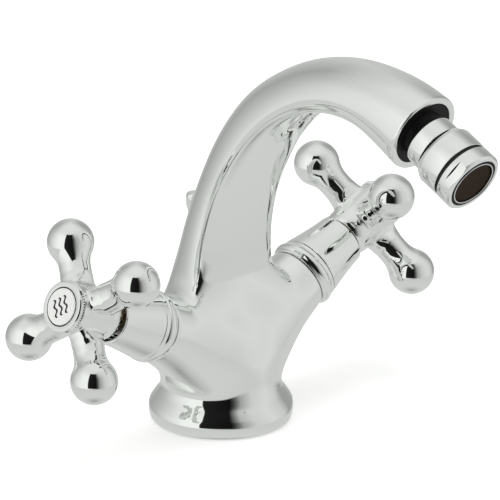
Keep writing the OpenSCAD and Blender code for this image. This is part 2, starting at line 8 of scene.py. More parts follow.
# %% Load the CAD model
import math
import bpy
from mathutils import Matrix, Vector
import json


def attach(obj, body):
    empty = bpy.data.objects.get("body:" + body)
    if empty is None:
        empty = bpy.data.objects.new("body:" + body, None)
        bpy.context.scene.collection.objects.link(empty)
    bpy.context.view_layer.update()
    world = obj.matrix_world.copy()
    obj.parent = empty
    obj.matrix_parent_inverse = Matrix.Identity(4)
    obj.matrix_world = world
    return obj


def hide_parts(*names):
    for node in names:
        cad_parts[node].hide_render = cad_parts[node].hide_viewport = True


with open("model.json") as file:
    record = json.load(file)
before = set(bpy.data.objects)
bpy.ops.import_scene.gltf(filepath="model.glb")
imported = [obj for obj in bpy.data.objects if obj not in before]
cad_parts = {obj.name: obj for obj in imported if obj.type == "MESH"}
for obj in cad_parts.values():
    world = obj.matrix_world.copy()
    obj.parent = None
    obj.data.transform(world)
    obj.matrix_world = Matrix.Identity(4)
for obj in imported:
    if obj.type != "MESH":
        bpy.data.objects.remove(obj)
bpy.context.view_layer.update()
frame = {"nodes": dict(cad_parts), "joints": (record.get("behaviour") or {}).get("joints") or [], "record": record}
MM = 0.001

# %% [markdown]
# ## Camera
# A piece this small is best seen from far away with a long lens, so that parallel edges stay
# parallel. The camera stands two metres off, a little above the mixer and to its left. Its matrix is built
# from three directions (right, up and back), which is surer than turning it by angles.

# %% Camera
TURN = math.radians(-43.8)
RISE = math.radians(20.34)
DISTANCE = 2080
AIM_RIGHT, AIM_UP = 10.59, 60.93
back = Vector((math.sin(TURN) * math.cos(RISE), -math.cos(TURN) * math.cos(RISE), math.sin(RISE)))
right = Vector((math.cos(TURN), math.sin(TURN), 0))
up = back.cross(right)
aim = (right * AIM_RIGHT + up * AIM_UP) * MM
camera_data = bpy.data.cameras.new("studio_camera")
camera = bpy.data.objects.new("studio_camera", camera_data)
bpy.context.scene.collection.objects.link(camera)
camera.matrix_world = Matrix((right, up, back)).transposed().to_4x4()
camera.location = aim + back * DISTANCE * MM
camera_data.sensor_width = 36
camera_data.lens = 404.4
camera_data.clip_end = 50
bpy.context.scene.camera = camera
print("camera at", [round(v, 3) for v in camera.location])

# %% [markdown]
# ## Studio
# Chrome has no colour of its own: it shows the room. It looks like chrome when it mirrors large soft
# pale surfaces with a few dark ones between them. A real studio has flats and cards round the
# camera. Cards modelled as planes would get in the way of other views, so here the room is painted
# on the sky instead, by direction. The first step gets two angles out of a direction: the azimuth,
# counted from the camera, and the elevation.

# %% Angles of the sky
def linked(tree, source, out, target, into):
    tree.links.new(source.outputs[out], target.inputs[into])


def math_node(tree, operation):
    node = tree.nodes.new("ShaderNodeMath")
    node.operation = operation
    return node


world = bpy.data.worlds.new("studio")
bpy.context.scene.world = world
world.use_nodes = True
tree = world.node_tree
tree.nodes.clear()
place = tree.nodes.new("ShaderNodeTexCoord")
turn_room = tree.nodes.new("ShaderNodeMapping")
turn_room.inputs["Rotation"].default_value = (0, 0, -TURN)
split = tree.nodes.new("ShaderNodeSeparateXYZ")
toward = math_node(tree, "MULTIPLY")
toward.inputs[1].default_value = -1
azimuth = math_node(tree, "ARCTAN2")
elevation = math_node(tree, "ARCSINE")
linked(tree, place, "Generated", turn_room, "Vector")
linked(tree, turn_room, "Vector", split, "Vector")
linked(tree, split, "Y", toward, 0)
linked(tree, split, "X", azimuth, 0)
linked(tree, toward, "Value", azimuth, 1)
linked(tree, split, "Z", elevation, 0)
print("nodes that find the angles:", len(tree.nodes))

# %% [markdown]
# ### Bands of grey
# A band is a colour ramp over one of the two angles, in degrees. Round the room the walls are bright
# on the left, dark straight ahead and grey on the right and behind. A second band says how the grey
# runs from the floor to the ceiling. The last three only say where something is: one tall black card
# with a soft right side, and the height over which the walls reach.

# %% Bands of grey
WALLS_ROUND = ((-180, 0.60), (-165, 0.48), (-145, 0.34), (-120, 0.48), (-90, 0.78), (-60, 1.0),
               (-29, 1.0), (14, 0.06), (34, 0.36), (58, 0.64), (90, 0.74), (115, 0.62), (135, 0.30),
               (155, 0.32), (174, 0.56), (180, 0.60))
ROOM_UP = ((-90, 0.34), (-76, 0.54), (-60, 0.66), (-40, 0.65), (-19, 0.62), (-14, 0.66), (20, 0.66),
           (58, 0.74), (90, 0.80))
CARD_ROUND = ((-180, 0), (-29.5, 0), (-28, 1), (11, 1), (30, 0), (180, 0))
CARD_UP = ((-90, 0), (-16.5, 0), (-15, 1), (54, 1), (56, 0), (90, 0))
WALLS_UP = ((-90, 0), (-22, 0), (-16, 1), (34, 1), (64, 0), (90, 0))


def band(stops, angle):
    """A colour ramp of greys over an angle in degrees"""
    ramp = tree.nodes.new("ShaderNodeValToRGB")
    low, high = stops[0][0], stops[-1][0]
    for i, (degrees, grey) in enumerate(stops):
        spot = (degrees - low) / (high - low)
        element = ramp.color_ramp.elements[i] if i < 2 else ramp.color_ramp.elements.new(spot)
        element.position = spot
        element.color = (grey * 0.98, grey, grey * 0.97, 1)
    span = tree.nodes.new("ShaderNodeMapRange")
    span.inputs["From Min"].default_value = math.radians(low)
    span.inputs["From Max"].default_value = math.radians(high)
    linked(tree, angle, "Value", span, "Value")
    linked(tree, span, "Result", ramp, "Fac")
    return ramp.outputs["Color"]


walls, walls_up = band(WALLS_ROUND, azimuth), band(WALLS_UP, elevation)
card_round, card_up = band(CARD_ROUND, azimuth), band(CARD_UP, elevation)
room_up = band(ROOM_UP, elevation)
print("stops round the walls:", len(WALLS_ROUND))

# %% [markdown]
# ### Paint the sky
# The bands are laid over each other like coats of paint: the room, the walls, then the black card.
# The camera itself sees plain white, so the background stays clean from every side.

# %% Paint the sky
WALLS_SHARE = 0.85
CARD_BLACK = (0.003, 0.003, 0.003, 1)


def mixed(blend, factor, first, second):
    """Mixes two colours by a number or by the output of another node"""
    node = tree.nodes.new("ShaderNodeMix")
    node.data_type = "RGBA"
    node.blend_type = blend
    for socket, value in ((node.inputs[0], factor), (node.inputs[6], first), (node.inputs[7], second)):
        if isinstance(value, (tuple, float, int)):
            socket.default_value = value
        else:
            tree.links.new(value, socket)
    return node.outputs[2]


room = mixed("MIX", WALLS_SHARE, room_up, mixed("MIX", walls_up, room_up, walls))
card = mixed("MULTIPLY", 1, card_round, card_up)
room = mixed("MIX", card, room, CARD_BLACK)
seen = tree.nodes.new("ShaderNodeLightPath")
room = mixed("MIX", seen.outputs["Is Camera Ray"], room, (1, 1, 1, 1))
sky = tree.nodes.new("ShaderNodeBackground")
tree.links.new(room, sky.inputs["Color"])
out = tree.nodes.new("ShaderNodeOutputWorld")
linked(tree, sky, "Background", out, "Surface")
bpy.context.scene.view_settings.view_transform = "Standard"
print("sky nodes:", len(tree.nodes))

# %% [markdown]
# ### Floor and lamp
# The floor is a large pale plane that glows a little, so that it is as white as the background and
# the shadow stays faint. A wide lamp overhead gives that shadow. Both are hidden from reflections,
# because the painted sky already is what the chrome should show.

# %% Floor and lamp
FLOOR_GLOW = 0.42
bpy.ops.object.select_all(action="DESELECT")
bpy.ops.mesh.primitive_plane_add(size=12, location=(0, 0, 0))
floor = bpy.context.object
floor.name = "studio_floor"
paint = bpy.data.materials.new("pale_floor")
paint.use_nodes = True
paint_shader = paint.node_tree.nodes["Principled BSDF"]
paint_shader.inputs["Base Color"].default_value = (0.97, 0.97, 0.97, 1)
paint_shader.inputs["Roughness"].default_value = 0.9
paint_shader.inputs["Specular IOR Level"].default_value = 0
paint_shader.inputs["Emission Color"].default_value = (1, 1, 1, 1)
paint_shader.inputs["Emission Strength"].default_value = FLOOR_GLOW
floor.data.materials.append(paint)
floor.visible_glossy = False
lamp = bpy.data.lights.new("top_light", "AREA")
lamp.size = 1.6
lamp.energy = 12
top_light = bpy.data.objects.new("top_light", lamp)
bpy.context.scene.collection.objects.link(top_light)
top_light.location = (-0.3, -0.2, 1.8)
top_light.rotation_euler = (-top_light.location).to_track_quat("-Z", "Y").to_euler()
top_light.visible_glossy = False

# %% [markdown]
# ## Finishes
# Every finish starts from one shader group, so that handling marks and fine grain look alike on all
# of them. The group mixes a broad noise (where hands and cloths have dulled the surface) with a fine
# one (the grain itself), and hands back a roughness, a shade and a height. Each finish gives it its
# own numbers. The shader itself stays in the material, where its constants are easy to find.

# %% Shader group for wear and grain
wear = bpy.data.node_groups.new("wear_and_grain", "ShaderNodeTree")
NUMBER, COLOUR = "NodeSocketFloat", "NodeSocketColor"
for label, kind, value in (("Broad Scale", NUMBER, 25), ("Grain Scale", NUMBER, 900),
                           ("Smooth", NUMBER, 0.05), ("Dull", NUMBER, 0.12),
                           ("Light Tone", COLOUR, (0.9, 0.9, 0.9, 1)),
                           ("Dark Tone", COLOUR, (0.8, 0.8, 0.8, 1))):
    wear.interface.new_socket(label, in_out="INPUT", socket_type=kind).default_value = value
for label, kind in (("Color", COLOUR), ("Roughness", NUMBER), ("Height", NUMBER)):
    wear.interface.new_socket(label, in_out="OUTPUT", socket_type=kind)
group_in = wear.nodes.new("NodeGroupInput")
group_out = wear.nodes.new("NodeGroupOutput")
where = wear.nodes.new("ShaderNodeTexCoord")
broad = wear.nodes.new("ShaderNodeTexNoise")
grain = wear.nodes.new("ShaderNodeTexNoise")
broad.inputs["Detail"].default_value = 3
grain.inputs["Detail"].default_value = 1
tone = wear.nodes.new("ShaderNodeMix")
tone.data_type = "RGBA"
dulling = wear.nodes.new("ShaderNodeMapRange")
dulling.inputs["From Min"].default_value = 0.3
dulling.inputs["From Max"].default_value = 0.75
for node, scale in ((broad, "Broad Scale"), (grain, "Grain Scale")):
    linked(wear, where, "Object", node, "Vector")
    linked(wear, group_in, scale, node, "Scale")
linked(wear, broad, "Fac", dulling, "Value")
linked(wear, group_in, "Smooth", dulling, "To Min")
linked(wear, group_in, "Dull", dulling, "To Max")
linked(wear, broad, "Fac", tone, "Factor")
wear.links.new(group_in.outputs["Light Tone"], tone.inputs[6])
wear.links.new(group_in.outputs["Dark Tone"], tone.inputs[7])
wear.links.new(tone.outputs[2], group_out.inputs["Color"])
linked(wear, dulling, "Result", group_out, "Roughness")
linked(wear, grain, "Fac", group_out, "Height")
print("group sockets:", [s.name for s in wear.interface.items_tree])

# %% [markdown]
# Eleven finishes cover the mixer. The numbers are: two tones between which the colour drifts, the
# smoothest and the dullest roughness, the size of the grain, its depth, and how metallic it is. The
# black plastic and the rubber mirror less than the rest, so that they stay black in a pale room.

# %% One finish for each material slot
FINISHES = {
    "chrome": ((0.93, 0.94, 0.93), (0.90, 0.91, 0.90), 0.02, 0.05, 1500, 0.0, 1),
    "brass": ((0.78, 0.60, 0.30), (0.66, 0.48, 0.22), 0.22, 0.38, 900, 0.05, 1),
    "black_rubber": ((0.030, 0.030, 0.031), (0.018, 0.018, 0.019), 0.45, 0.65, 1200, 0.15, 0),
    "ceramic": ((0.88, 0.87, 0.83), (0.82, 0.81, 0.77), 0.15, 0.30, 700, 0.02, 0),
    "spring_steel": ((0.60, 0.60, 0.62), (0.50, 0.50, 0.52), 0.20, 0.35, 1100, 0.04, 1),
    "porcelain": ((0.90, 0.90, 0.885), (0.86, 0.86, 0.85), 0.06, 0.12, 400, 0.01, 0),
    "black_enamel": ((0.012, 0.012, 0.014), (0.02, 0.02, 0.022), 0.12, 0.22, 600, 0.01, 0),
    "white_plastic": ((0.84, 0.84, 0.82), (0.78, 0.78, 0.76), 0.35, 0.50, 800, 0.05, 0),
    "black_plastic": ((0.006, 0.006, 0.006), (0.01, 0.01, 0.01), 0.30, 0.48, 900, 0.08, 0),
    "steel_rim": ((0.72, 0.72, 0.73), (0.62, 0.62, 0.63), 0.12, 0.22, 1000, 0.02, 1),
    "mesh": ((0.075, 0.055, 0.042), (0.04, 0.03, 0.024), 0.30, 0.45, 1400, 0.05, 1),
}


def finish_named(name):
    light, dark, smooth, dull, scale, depth, metallic = FINISHES[name]
    finish = bpy.data.materials.new(name + "_finish")
    finish.use_nodes = True
    nodes = finish.node_tree
    shader = nodes.nodes["Principled BSDF"]
    effect = nodes.nodes.new("ShaderNodeGroup")
    effect.node_tree = wear
    effect.inputs["Light Tone"].default_value = (*light, 1)
    effect.inputs["Dark Tone"].default_value = (*dark, 1)
    effect.inputs["Smooth"].default_value = smooth
    effect.inputs["Dull"].default_value = dull
    effect.inputs["Grain Scale"].default_value = scale
    linked(nodes, effect, "Color", shader, "Base Color")
    linked(nodes, effect, "Roughness", shader, "Roughness")
    shader.inputs["Metallic"].default_value = metallic
    if depth > 0:
        bump = nodes.nodes.new("ShaderNodeBump")
        bump.inputs["Strength"].default_value = depth
        bump.inputs["Distance"].default_value = 0.2 * MM
        linked(nodes, effect, "Height", bump, "Height")
        linked(nodes, bump, "Normal", shader, "Normal")
    return finish


finishes = {name: finish_named(name) for name in FINISHES}
for name in ("black_plastic", "black_rubber"):
    finishes[name].node_tree.nodes["Principled BSDF"].inputs["Specular IOR Level"].default_value = 0.12
slot_of = {part["node"]: part["material_slot"] for part in frame["record"]["subparts"]}
for name, node in frame["nodes"].items():
    node.data.materials.clear()
    node.data.materials.append(finishes[slot_of[name]])
print("finishes:", sorted(finishes))

# %% [markdown]
# ## The body
# The base, the column, the spout and both valve arms are one brass casting, plated all over. Its
# surface flows from one part into the next, so it could not be made of primitives pushed into each
# other: chrome would show every join. It is modelled as a coarse cage of sixteen points a ring, and
# Subdivision Surface turns the cage into a smooth skin. The cage is pulled out ring by ring with the
# extrude operator, the way one would do by hand, and a helper puts each new ring in its place.

# %% Cage helpers
import bmesh


def alone(piece):
    """Selects one piece and nothing else"""
    bpy.ops.object.select_all(action="DESELECT")
    piece.select_set(True)
    bpy.context.view_layer.objects.active = piece


def points_of(piece):
    return bmesh.from_edit_mesh(piece.data).verts


def nearest_points(piece, places):
    points = list(points_of(piece))
    return [min(points, key=lambda v: (v.co - p).length_squared) for p in places]


def select_points(piece, places):
    """Selects the points at these places, and every edge and face between them"""
    bpy.ops.mesh.select_all(action="DESELECT")
    for v in nearest_points(piece, places):
        v.select = True
    bmesh.from_edit_mesh(piece.data).select_flush(True)


def put(piece, start, places):
    """Moves each selected point, found by where it is now, to its place."""
    points = [v for v in points_of(piece) if v.select]
    for here, there in zip(start, places):
        nearest = min(points, key=lambda v: (v.co - here).length_squared)
        nearest.co = there
        points.remove(nearest)
    bmesh.update_edit_mesh(piece.data)


def pull(piece, start, places):
    """Extrudes what is selected and puts the new points in their places."""
    bpy.ops.mesh.extrude_region_move()
    put(piece, start, places)


def settle(rows, sharp=(), rounds=16):
    """Pushes a cage out until its smooth skin, which falls inside it, meets the rows"""
    cage = [[p.copy() for p in row] for row in rows]
    count, last = len(rows[0]), len(rows) - 1
    for _ in range(rounds):
        round_way = [[row[k] if k in sharp else (row[k - 1] + row[k] * 4 + row[(k + 1) % count]) / 6
                      for k in range(count)] for row in cage]
        for i in range(last + 1):
            for k in range(count):
                near = round_way[i][k]
                if 0 < i < last:
                    near = (round_way[i - 1][k] + near * 4 + round_way[i + 1][k]) / 6
                cage[i][k] += rows[i][k] - near
    return cage


def apply_all(piece):
    alone(piece)
    for modifier in list(piece.modifiers):
        bpy.ops.object.modifier_apply(modifier=modifier.name)


print("cage helpers ready")

# %% [markdown]
# ### Sections of the body
# The base is turned, so its rings are circles. The spout has a D section: a round back, a nearly
# flat inner face and two rounded edges between them. The sizes below run evenly from the top of the
# column to the mouth, and the spout's line is one cubic curve in the mixer's middle plane. They are
# the values of the CAD model, so that the finished body fits everything that mates with it. Only the
# two edges are made rounder at the foot than they are there.

# %% Ring positions
BASE = ((21.0, 0), (23.4, 0), (25.0, 0.02), (25.8, 0.4), (26.4, 1.3), (26.8, 3.0), (26.9, 4.8),
        (26.65, 6.3), (25.95, 7.6), (24.75, 9.35), (23.6, 10.95), (22.9, 12.4), (22.62, 14))
HALF_WIDTH = (19.5, 18.2, 17.1, 16.5, 15.9, 15.4, 15, 14.8, 14.8)
BACK_DEPTH = (20.2, 16.4, 13.9, 12.9, 11.8, 10, 9.9, 11.5, 14.8)
FACE_DEPTH = (8.8, 7.3, 6.4, 6.8, 7.6, 8.4, 8.4, 10, 14.8)
EDGE_WIDTH = (5.5, 5.2, 4.4, 3.8, 3.8, 4.5, 6, 9.5, 12.4)
EDGE_DEPTH = (5.5, 5.2, 4.4, 3.8, 3.8, 4.5, 6, 9.5, 14.8)
SPOUT = (Vector((-2.2, 54)), Vector((-3.626, 99.378)), Vector((-36.05, 168.22)), Vector((-103, 136)))
MOUTH_WAY = Vector((-math.cos(math.radians(20.5)), -math.sin(math.radians(20.5))))
COLUMN_Y = -2.2
WAIST = 22.6


def mix(a, b, t):
    return a + (b - a) * t


def ease(t):
    t = min(max(t, 0), 1)
    return t * t * (3 - 2 * t)


def key_at(keys, t):
    """A smooth curve through evenly spaced values"""
    u = min(max(t, 0), 1) * (len(keys) - 1)
    i = min(int(u), len(keys) - 2)
    f = u - i
    p0, p1, p2, p3 = keys[max(i - 1, 0)], keys[i], keys[i + 1], keys[min(i + 2, len(keys) - 1)]
    return 0.5 * (2 * p1 + (p2 - p0) * f + (2 * p0 - 5 * p1 + 4 * p2 - p3) * f * f
                  + (3 * p1 - p0 - 3 * p2 + p3) * f ** 3)


def d_section(t):
    """Sixteen points round the D, from the right-hand edge over the back to the inner face"""
    w, back_d, face = key_at(HALF_WIDTH, t), key_at(BACK_DEPTH, t), key_at(FACE_DEPTH, t)
    edge_w, edge_d = key_at(EDGE_WIDTH, t), key_at(EDGE_DEPTH, t)
    turn = edge_d - face
    flat = w - edge_w
    reach = mix(0.80, 0.707, ease((t - 0.6) / 0.4))
    half = [(flat + edge_w * reach, turn - edge_d * reach)]
    for a, late in ((3, -22.5), (22, 0), (40, 22.5), (57, 45), (73.5, 67.5), (90, 90)):
        a = math.radians(mix(a, late, ease((t - 0.6) / 0.4)))
        depth = back_d - turn if a > 0 else edge_d
        half.append((w * math.cos(a), turn + depth * math.sin(a)))
    inner = mix(flat * 0.5, w * 0.383, ease((t - 0.6) / 0.4))
    bulge = 0.8 * (1 - ease((t - 0.8) / 0.2))
    low = mix(-face - bulge * 0.75, -face * 0.924, ease((t - 0.8) / 0.2))
    return half + [(-x, y) for x, y in half[-2::-1]] + [(-inner, low), (0, -face - bulge), (inner, low)]


def circle_section(radius):
    return [(radius * math.cos(math.radians(22.5 * k - 45)), radius * math.sin(math.radians(22.5 * k - 45)))
            for k in range(16)]


def spout_ring(t, section, along=0):
    a, b, c, d = SPOUT
    s = 1 - t
    middle = a * s ** 3 + b * (3 * s * s * t) + c * (3 * s * t * t) + d * t ** 3
    way = ((b - a) * s * s + (c - b) * (2 * s * t) + (d - c) * t * t).normalized() if t < 1 else MOUTH_WAY
    middle = middle + way * along
    return [Vector((x, middle.x + way.y * y, middle.y - way.x * y)) for x, y in section]


def column_ring(z):
    t = ease((z - 11) / 43)
    return [Vector((mix(c[0], d[0], t), mix(c[1], d[1] + COLUMN_Y, t), z))
            for c, d in zip(circle_section(WAIST), d_section(0))]


rows = [[Vector((x, y, z)) for x, y in circle_section(r)] for r, z in BASE]
first_arm_row = len(rows)
rows += [column_ring(z) for z in (17.5, 26.5, 36, 45.5)]
rows.append(spout_ring(0.012, d_section(0)))
STEPS = 18
rows += [spout_ring(i / STEPS, d_section(i / STEPS)) for i in range(1, STEPS)]
print(len(rows), "rings, the arms leave from ring", first_arm_row)

# %% [markdown]
# ### Where the arms meet the column
# Between the two arms the casting bulges forward, because the arms are fatter than the column there.
# The front points of those rings are moved out one by one: three across the front, mirrored.

# %% Front of the body and the mouth
FRONT = {0: ((0, -22.3), (8.6, -20.6), (16.0, -16.2)), 1: ((0, -21.9), (8.0, -21.2), (15.6, -18.7)),
         2: ((0, -19.6), (7.6, -19.6), (15.2, -18.6)), 3: ((0, -14.2), (7.4, -14.7), (14.6, -15.6))}
for step, (middle, side, corner) in FRONT.items():
    ring = rows[first_arm_row + step]
    for k, (x, y) in ((14, middle), (15, side), (0, corner)):
        mirror_k = (28 - k) % 16
        ring[k] = Vector((x, y, ring[k].z))
        ring[mirror_k] = Vector((-x, y, ring[mirror_k].z))
MOUTH = ((14.8, -3.0), (14.8, -0.9), (14.65, -0.25), (14.2, 0.0), (13.1, 0.0), (12.45, -0.12), (12.2, -0.7),
         (12.15, -3.0), (12.15, -8.0), (12.15, -11.0), (11.6, -11.9), (9.0, -12.0))
rows += [spout_ring(1, circle_section(r), along) for r, along in MOUTH]
cage = settle(rows, sharp=(0, 12))
print("ring count with the mouth:", len(cage))

# %% [markdown]
# The first ring is a circle primitive at the foot. Every other ring is an extrusion of the one
# before it. At the ends the open rings are filled.

# %% Pull the body out of one circle
bpy.ops.object.select_all(action="DESELECT")
bpy.ops.mesh.primitive_circle_add(vertices=16, radius=BASE[0][0], fill_type="NOTHING")
body = bpy.context.object
body.name = "cast_body"
bpy.ops.object.mode_set(mode="EDIT")
bpy.ops.mesh.select_all(action="SELECT")
put(body, [Vector((x, y, 0)) for x, y in circle_section(BASE[0][0])], cage[0])
for before, after in zip(cage, cage[1:]):
    pull(body, before, after)
bpy.ops.mesh.edge_face_add()
select_points(body, cage[0])
bpy.ops.mesh.edge_face_add()
print("cage of", len(points_of(body)), "points")

# %% [markdown]
# ### The arms
# Each arm leaves from a patch of four by four faces on the column's side. Extruding the patch as one
# region keeps the skin closed. The rim of the patch becomes the round section of the arm, which is
# fatter underneath, where the casting flares down into the waist. A round cage of sixteen sides has
# a skin of 0.9746 of its own radius, so the rings are drawn larger by as much.

# %% Extrude both arms
SLOPE = math.radians(23.8)
ARM_CROSS = Vector((0, -2.8, 29.2))
SIXTEEN_SIDED = 0.9746
ARM_STEPS = ((27.6, 3.6, 1), (32.5, 1.6, 1), (36.5, 0.4, 1), (39.2, 0, 1), (39.9, 0, 0.975), (40, 0, 0.88))
RIM = [(0, 0), (0, 1), (0, 2), (0, 3), (0, 4), (1, 4), (2, 4), (3, 4), (4, 4), (4, 3), (4, 2), (4, 1), (4, 0),
       (3, 0), (2, 0), (1, 0)]
INNER = [(r, c) for r in (1, 2, 3) for c in (1, 2, 3)]


def arm_point(side, s, across, height):
    axis = Vector((side * math.cos(SLOPE), 0, math.sin(SLOPE)))
    rise = Vector((-side * math.sin(SLOPE), 0, math.cos(SLOPE)))
    return ARM_CROSS + axis * s + Vector((0, across, 0)) + rise * height


def arm_patch(side, middle, tilt, shrink):
    """Places for the 25 points of the patch at one step along the arm"""
    places = {}
    for j, spot in enumerate(RIM):
        a = math.radians(225 + 22.5 * j)
        s = middle + tilt * math.sin(a)
        flare = max(1 - s / 40, 0)
        wide = 12.3 + 3 * flare + 8 * flare ** 3
        high = 12.3 + ((10 * flare + 16 * flare ** 3) if math.sin(a) < 0 else 0)
        grown = shrink / SIXTEEN_SIDED
        places[spot] = arm_point(side, s, wide * grown * math.cos(a), high * grown * math.sin(a))
    for r, c in INNER:
        places[(r, c)] = arm_point(side, middle, 5.5 * shrink * (c - 2), 5.5 * shrink * (r - 2))
    return [places[spot] for spot in RIM + INNER]


for side in (1, -1):
    column = [k if side > 0 else 12 - k for k in range(5)]
    here = [cage[first_arm_row + r][column[c]] for r, c in RIM + INNER]
    select_points(body, here)
    for middle, tilt, shrink in ARM_STEPS:
        there = arm_patch(side, middle, tilt, shrink)
        pull(body, here, there)
        here = there
print("cage with arms:", len(points_of(body)), "points")

# %% [markdown]
# ### Edges and skin
# A crease holds the two long edges of the D a little tighter than the cage alone would. Its strength
# fades towards the column's foot, where the edges are rounder, and towards the mouth, where the
# section turns round. Then the normals are checked and the skin is made, and only then are the holes
# drilled, so that they stay truly round.

# %% Crease, subdivide and scale
mesh = bmesh.from_edit_mesh(body.data)
crease = mesh.edges.layers.float.get("crease_edge") or mesh.edges.layers.float.new("crease_edge")
CREASE, FADE_ROWS = 0.22, 4
top = len(BASE) + 5 + STEPS - 1
for i in range(first_arm_row + 4, top):
    strength = CREASE * ease((i - first_arm_row - 5) / FADE_ROWS) * (1 - ease((i - (top - 5)) / FADE_ROWS))
    for k in (0, 12):
        a, b = nearest_points(body, (cage[i][k], cage[i + 1][k]))
        edge = mesh.edges.get((a, b))
        if edge:
            edge[crease] = strength
bmesh.update_edit_mesh(body.data)
bpy.ops.mesh.select_all(action="SELECT")
bpy.ops.mesh.normals_make_consistent(inside=False)
bpy.ops.transform.resize(value=(MM, MM, MM), center_override=(0, 0, 0))
bpy.ops.object.mode_set(mode="OBJECT")
skin = body.modifiers.new("skin", "SUBSURF")
skin.levels = skin.render_levels = 3
apply_all(body)
bpy.ops.object.shade_smooth()
print("smooth faces:", len(body.data.polygons))

# %% [markdown]
# ## Holes in the casting
# From below, the casting shows its fixing stud hole, two hose inlets, the hole for the lift rod and
# the groove of the base seal. The lift rod leaves the column through its back. All of these are
# cylinders cut out of the finished skin with Booleans, because drilled holes really are cylinders.
# The groove's cutter is a wide cylinder that first loses its own core.

# %% Drill the casting
def cutter(radius, low, high, x, y):
    bpy.ops.mesh.primitive_cylinder_add(vertices=48, radius=radius * MM, depth=(high - low) * MM,
                                        location=(x * MM, y * MM, (low + high) / 2 * MM))
    return bpy.context.object


def carve(piece, tool):
    """Cuts the tool out of the piece and removes it"""
    hole = piece.modifiers.new("hole", "BOOLEAN")
    hole.operation = "DIFFERENCE"
    hole.solver = "EXACT"
    hole.object = tool
    apply_all(piece)
    bpy.data.objects.remove(tool)


bpy.ops.object.select_all(action="DESELECT")
ROD_BACK = 14
stud_hole = cutter(3.4, -1, 14, 0, -12.5)
inlets = [cutter(4.5, -1, 12, x, -2) for x in (9.5, -9.5)]
rod_hole = cutter(2.3, 50, 84, 0, ROD_BACK)
knob_relief = cutter(3.5, 74.7, 109, 0, ROD_BACK)
guide_hole = cutter(3.5, -1, 58.5, 0, ROD_BACK)
groove = cutter(21.4, -1, 2, 0, 0)
carve(groove, cutter(19, -2, 3, 0, 0))
for drill in [stud_hole, *inlets, rod_hole, knob_relief, guide_hole, groove]:
    carve(body, drill)
alone(body)
bpy.ops.object.shade_smooth_by_angle(angle=math.radians(40))
body.data.materials.clear()
body.data.materials.append(finishes["chrome"])
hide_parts("body_casting")
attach(body, "mixer")
print("body faces:", len(body.data.polygons))

# %% [markdown]
# ## Turned pieces
# Most of the other parts are turned on a lathe, and Blender's Spin does just that: an outline goes
# once round an axis. The outline starts as a plane merged to one point, which is extruded from
# corner to corner. Real edges are never quite sharp, so a helper rounds the corners first. Pieces
# are drawn in millimetres along Z and then put on their own axis, which comes from the joints.

# %% Lathe helpers
body_of_node = {n: b for b, members in frame["record"]["behaviour"]["bodies"].items() for n in members}
joints = {joint["name"]: joint for joint in frame["joints"]}
CROSS_AT = 77.8


def soften(outline, size, cuts=3, closed=True):
    corners = [Vector(p) for p in outline]
    result = []
    for i, here in enumerate(corners):
        if not closed and i in (0, len(corners) - 1):
            result.append(here)
            continue
        to_last, to_next = corners[i - 1] - here, corners[(i + 1) % len(corners)] - here
        if to_last.angle(to_next) > math.radians(158):
            result.append(here)
            continue
        reach = min(size, to_last.length * 0.45, to_next.length * 0.45)
        start, stop = here + to_last.normalized() * reach, here + to_next.normalized() * reach
        for j in range(cuts + 1):
            t = j / cuts
            result.append(start * (1 - t) ** 2 + here * (2 * t * (1 - t)) + stop * t * t)
    return result


def turned(name, outline, steps=96, closed=True):
    bpy.ops.object.select_all(action="DESELECT")
    bpy.ops.mesh.primitive_plane_add(size=1)
    piece = bpy.context.object
    piece.name = name
    bpy.ops.object.mode_set(mode="EDIT")
    bpy.ops.mesh.select_all(action="SELECT")
    bpy.ops.mesh.merge(type="CENTER")
    bpy.ops.transform.translate(value=(outline[0][0], 0, outline[0][1]))
    for before, after in zip(outline, outline[1:]):
        step = (after[0] - before[0], 0, after[1] - before[1])
        bpy.ops.mesh.extrude_region_move(TRANSFORM_OT_translate={"value": step})
    if closed:
        first = Vector((outline[0][0], 0, outline[0][1]))
        min(points_of(piece), key=lambda v: (v.co - first).length).select = True
        bpy.ops.mesh.edge_face_add()
    bpy.ops.mesh.select_all(action="SELECT")
    bpy.ops.mesh.spin(steps=steps, angle=2 * math.pi, center=(0, 0, 0), axis=(0, 0, 1))
    bpy.ops.mesh.select_all(action="SELECT")
    bpy.ops.mesh.remove_doubles(threshold=0.001)
    bpy.ops.mesh.normals_make_consistent(inside=False)
    bpy.ops.object.mode_set(mode="OBJECT")
    return piece


def valve_place(side, turn=0.0):
    joint = joints["hot_turn" if side < 0 else "cold_turn"]
    way = Vector(joint["axis"]) * -side
    start = Vector(joint["pos_m"]) - way * CROSS_AT * MM
    return (Matrix.Translation(start) @ Matrix.Rotation(side * (math.pi / 2 - math.asin(way.z)), 4, "Y")
            @ Matrix.Rotation(math.radians(turn), 4, "Z"))


def seat(piece, place, node, smooth=35):
    """Puts a piece drawn in millimetres in its place, where it stands for its CAD node"""
    alone(piece)
    piece.matrix_world = place @ Matrix.Scale(MM, 4)
    bpy.ops.object.transform_apply(location=True, rotation=True, scale=True)
    bpy.ops.object.shade_smooth_by_angle(angle=math.radians(smooth))
    piece.data.materials.clear()
    piece.data.materials.append(finishes[slot_of[node]])
    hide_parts(node)
    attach(piece, body_of_node[node])


def twin(piece, name):
    alone(piece)
    bpy.ops.object.duplicate(linked=False)
    bpy.context.object.name = name
    return bpy.context.object


def both_sides(piece, node, hot_turn=0.0, cold_turn=0.0):
    """The same piece for the hot and the cold valve"""
    cold_piece = twin(piece, "cold_" + piece.name)
    piece.name = "hot_" + piece.name
    seat(piece, valve_place(-1, hot_turn), "hot_" + node)
    seat(cold_piece, valve_place(1, cold_turn), "cold_" + node)
    return piece, cold_piece


